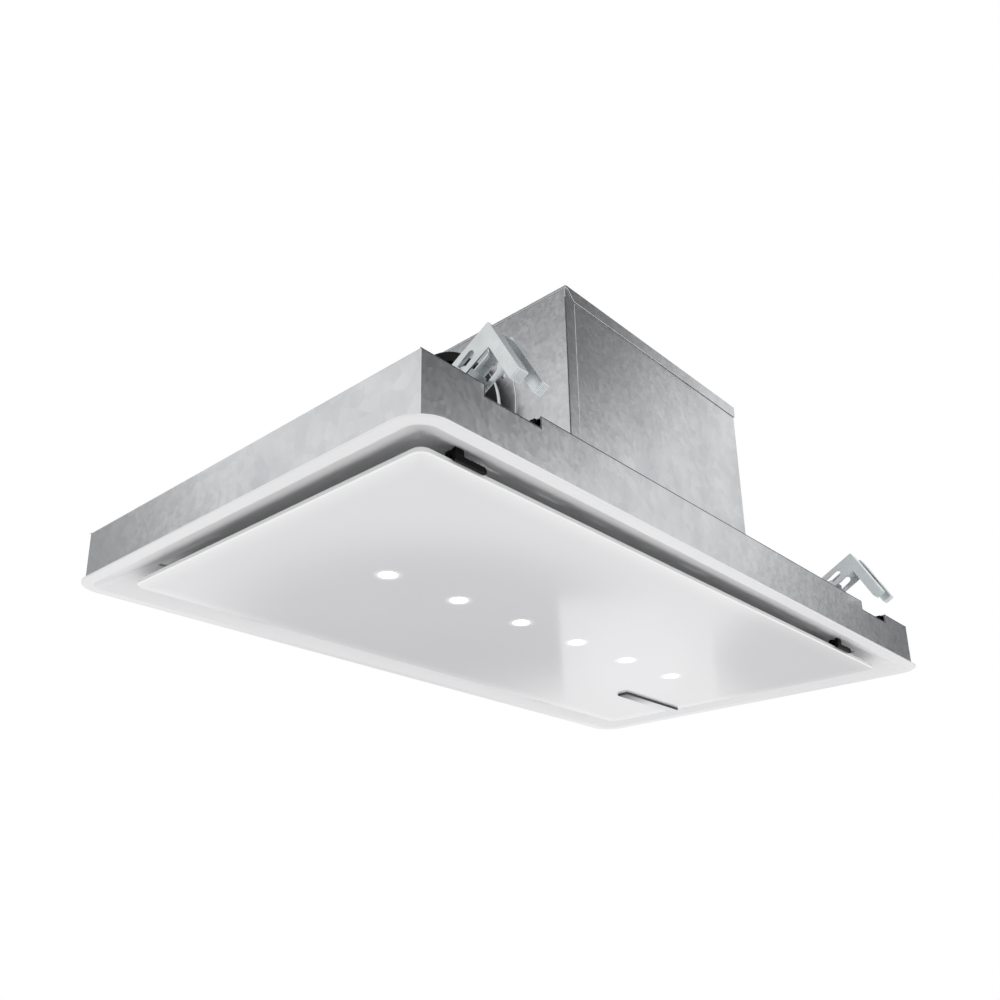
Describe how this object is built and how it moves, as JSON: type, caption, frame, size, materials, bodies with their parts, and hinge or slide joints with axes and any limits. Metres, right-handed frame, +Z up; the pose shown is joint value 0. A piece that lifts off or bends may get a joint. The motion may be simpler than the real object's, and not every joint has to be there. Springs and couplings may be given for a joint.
{
  "type": "ceiling range hood",
  "caption": "Recessed ceiling range hood: hinged white glass panel with spot lights and a perimeter suction gap, steel housing, blower box, side duct collar and ceiling clamps.",
  "frame": {"origin": "middle of the ceiling cut-out, in the plane of the ceiling's underside, where the flange's upper face bears", "axes": "+X along the long side towards the end with the control strip, away from the duct collar; +Y towards the long side that carries the panel hinges; +Z up into the ceiling"},
  "size_m": [0.9, 0.5176, 0.2995],
  "materials": {
    "galvanised_steel": "hot-dip galvanised sheet, fine soft spangle, satin",
    "zinc_plated_steel": "bright zinc plate with a faint blue-green passivation",
    "white_enamelled_steel": "white baked enamel, semi-gloss",
    "white_glass": "toughened glass, back-painted white, ground edge",
    "black_plastic": "moulded, fine matt grain",
    "grey_plastic": "moulded, matt",
    "filter_aluminium": "anodised, layered expanded mesh",
    "frosted_lens": "frosted diffuser, lit",
    "circuit_board": "solder-resist lacquer",
    "cast_aluminium": "die cast, lightly blasted"
  },
  "bodies": {
    "hood_body": {"housing_shell": "galvanised_steel", "blower_wall_duct": "galvanised_steel", "blower_wall_wrap": "galvanised_steel", "blower_lid": "galvanised_steel", "duct_spigot": "galvanised_steel", "scroll_wall": "galvanised_steel", "scroll_floor": "galvanised_steel", "scroll_roof": "galvanised_steel", "motor_bridge": "galvanised_steel", "damper_pin": "zinc_plated_steel", "ceiling_frame": "white_enamelled_steel", "intake_pan": "white_enamelled_steel", "damper_ring": "black_plastic", "inlet_cone": "black_plastic", "hinge_base_left": "black_plastic", "hinge_base_right": "black_plastic", "magnet_catch_left": "black_plastic", "magnet_catch_right": "black_plastic", "cable_gland": "black_plastic", "clamp_pocket_near_left": "black_plastic", "clamp_pocket_near_right": "black_plastic", "clamp_pocket_far_left": "black_plastic", "clamp_pocket_far_right": "black_plastic", "control_tray": "grey_plastic", "control_cover": "grey_plastic", "grease_filter_left": "filter_aluminium", "grease_filter_right": "filter_aluminium", "motor_can": "cast_aluminium"},
    "glass_door": {"glass_panel": "white_glass", "panel_carrier": "white_enamelled_steel", "led_board": "circuit_board", "control_strip": "black_plastic", "hinge_leaf_left": "zinc_plated_steel", "hinge_leaf_right": "zinc_plated_steel", "catch_strike_left": "zinc_plated_steel", "catch_strike_right": "zinc_plated_steel", "led_lens_1": "frosted_lens", "led_lens_2": "frosted_lens", "led_lens_3": "frosted_lens", "led_lens_4": "frosted_lens", "led_lens_5": "frosted_lens", "led_lens_6": "frosted_lens"},
    "fan_rotor": {"fan_drum": "cast_aluminium", "motor_shaft": "zinc_plated_steel"},
    "damper_near": {"damper_flap_near": "black_plastic"},
    "damper_far": {"damper_flap_far": "black_plastic"},
    "latch_left": {"filter_latch_left": "black_plastic"},
    "latch_right": {"filter_latch_right": "black_plastic"},
    "screw_near_left": {"clamp_screw_near_left": "zinc_plated_steel"},
    "carrier_near_left": {"clamp_carrier_near_left": "zinc_plated_steel"},
    "bracket_near_left": {"clamp_bracket_near_left": "zinc_plated_steel"},
    "screw_near_right": {"clamp_screw_near_right": "zinc_plated_steel"},
    "carrier_near_right": {"clamp_carrier_near_right": "zinc_plated_steel"},
    "bracket_near_right": {"clamp_bracket_near_right": "zinc_plated_steel"},
    "screw_far_left": {"clamp_screw_far_left": "zinc_plated_steel"},
    "carrier_far_left": {"clamp_carrier_far_left": "zinc_plated_steel"},
    "bracket_far_left": {"clamp_bracket_far_left": "zinc_plated_steel"},
    "screw_far_right": {"clamp_screw_far_right": "zinc_plated_steel"},
    "carrier_far_right": {"clamp_carrier_far_right": "zinc_plated_steel"},
    "bracket_far_right": {"clamp_bracket_far_right": "zinc_plated_steel"}
  },
  "joints": [
    {"name": "panel_hinge", "type": "hinge", "parent": "hood_body", "child": "glass_door", "pos_m": [0, 0.213, 0.0043], "axis": [1, 0, 0], "range_deg": [0, 88]},
    {"name": "fan_spin", "type": "hinge", "parent": "hood_body", "child": "fan_rotor", "pos_m": [0.035, -0.045, 0.18], "axis": [0, 0, 1], "continuous": true},
    {"name": "damper_near_swing", "type": "hinge", "parent": "hood_body", "child": "damper_near", "pos_m": [-0.193, 0, 0.1875], "axis": [0, 0, -1], "range_deg": [0, 75], "stiffness_Nm_per_rad": 0.01, "springref_deg": -20.05},
    {"name": "damper_far_swing", "type": "hinge", "parent": "hood_body", "child": "damper_far", "pos_m": [-0.193, 0, 0.1875], "axis": [0, 0, 1], "range_deg": [0, 75], "stiffness_Nm_per_rad": 0.01, "springref_deg": -20.05},
    {"name": "filter_latch_left_slide", "type": "slide", "parent": "hood_body", "child": "latch_left", "axis": [0, 1, 0], "range_m": [0, 0.006], "stiffness_N_per_m": 250, "springref_m": -0.002},
    {"name": "filter_latch_right_slide", "type": "slide", "parent": "hood_body", "child": "latch_right", "axis": [0, 1, 0], "range_m": [0, 0.006], "stiffness_N_per_m": 250, "springref_m": -0.002},
    {"name": "clamp_lift_near_left", "type": "slide", "parent": "hood_body", "child": "carrier_near_left", "axis": [0, 0, 1], "range_m": [-0.034, 0]},
    {"name": "clamp_screw_turn_near_left", "type": "hinge", "parent": "hood_body", "child": "screw_near_left", "pos_m": [-0.338, -0.184, 0.06], "axis": [0, 0, 1], "range_deg": [0, 6125]},
    {"name": "clamp_swing_near_left", "type": "hinge", "parent": "carrier_near_left", "child": "bracket_near_left", "pos_m": [-0.338, -0.19273, 0.09526], "axis": [-1, 0, 0], "range_deg": [0, 60]},
    {"name": "clamp_lift_near_right", "type": "slide", "parent": "hood_body", "child": "carrier_near_right", "axis": [0, 0, 1], "range_m": [-0.034, 0]},
    {"name": "clamp_screw_turn_near_right", "type": "hinge", "parent": "hood_body", "child": "screw_near_right", "pos_m": [0.338, -0.184, 0.06], "axis": [0, 0, 1], "range_deg": [0, 6125]},
    {"name": "clamp_swing_near_right", "type": "hinge", "parent": "carrier_near_right", "child": "bracket_near_right", "pos_m": [0.338, -0.19273, 0.09526], "axis": [-1, 0, 0], "range_deg": [0, 60]},
    {"name": "clamp_lift_far_left", "type": "slide", "parent": "hood_body", "child": "carrier_far_left", "axis": [0, 0, 1], "range_m": [-0.034, 0]},
    {"name": "clamp_screw_turn_far_left", "type": "hinge", "parent": "hood_body", "child": "screw_far_left", "pos_m": [-0.338, 0.184, 0.06], "axis": [0, 0, 1], "range_deg": [0, 6125]},
    {"name": "clamp_swing_far_left", "type": "hinge", "parent": "carrier_far_left", "child": "bracket_far_left", "pos_m": [-0.338, 0.19273, 0.09526], "axis": [1, 0, 0], "range_deg": [0, 60]},
    {"name": "clamp_lift_far_right", "type": "slide", "parent": "hood_body", "child": "carrier_far_right", "axis": [0, 0, 1], "range_m": [-0.034, 0]},
    {"name": "clamp_screw_turn_far_right", "type": "hinge", "parent": "hood_body", "child": "screw_far_right", "pos_m": [0.338, 0.184, 0.06], "axis": [0, 0, 1], "range_deg": [0, 6125]},
    {"name": "clamp_swing_far_right", "type": "hinge", "parent": "carrier_far_right", "child": "bracket_far_right", "pos_m": [0.338, 0.19273, 0.09526], "axis": [1, 0, 0], "range_deg": [0, 60]}
  ],
  "couplings": [
    {"joint": "clamp_screw_turn_near_left", "follows": "clamp_lift_near_left", "rad_per_m": -3141.6},
    {"joint": "clamp_screw_turn_near_right", "follows": "clamp_lift_near_right", "rad_per_m": -3141.6},
    {"joint": "clamp_screw_turn_far_left", "follows": "clamp_lift_far_left", "rad_per_m": -3141.6},
    {"joint": "clamp_screw_turn_far_right", "follows": "clamp_lift_far_right", "rad_per_m": -3141.6}
  ]
}
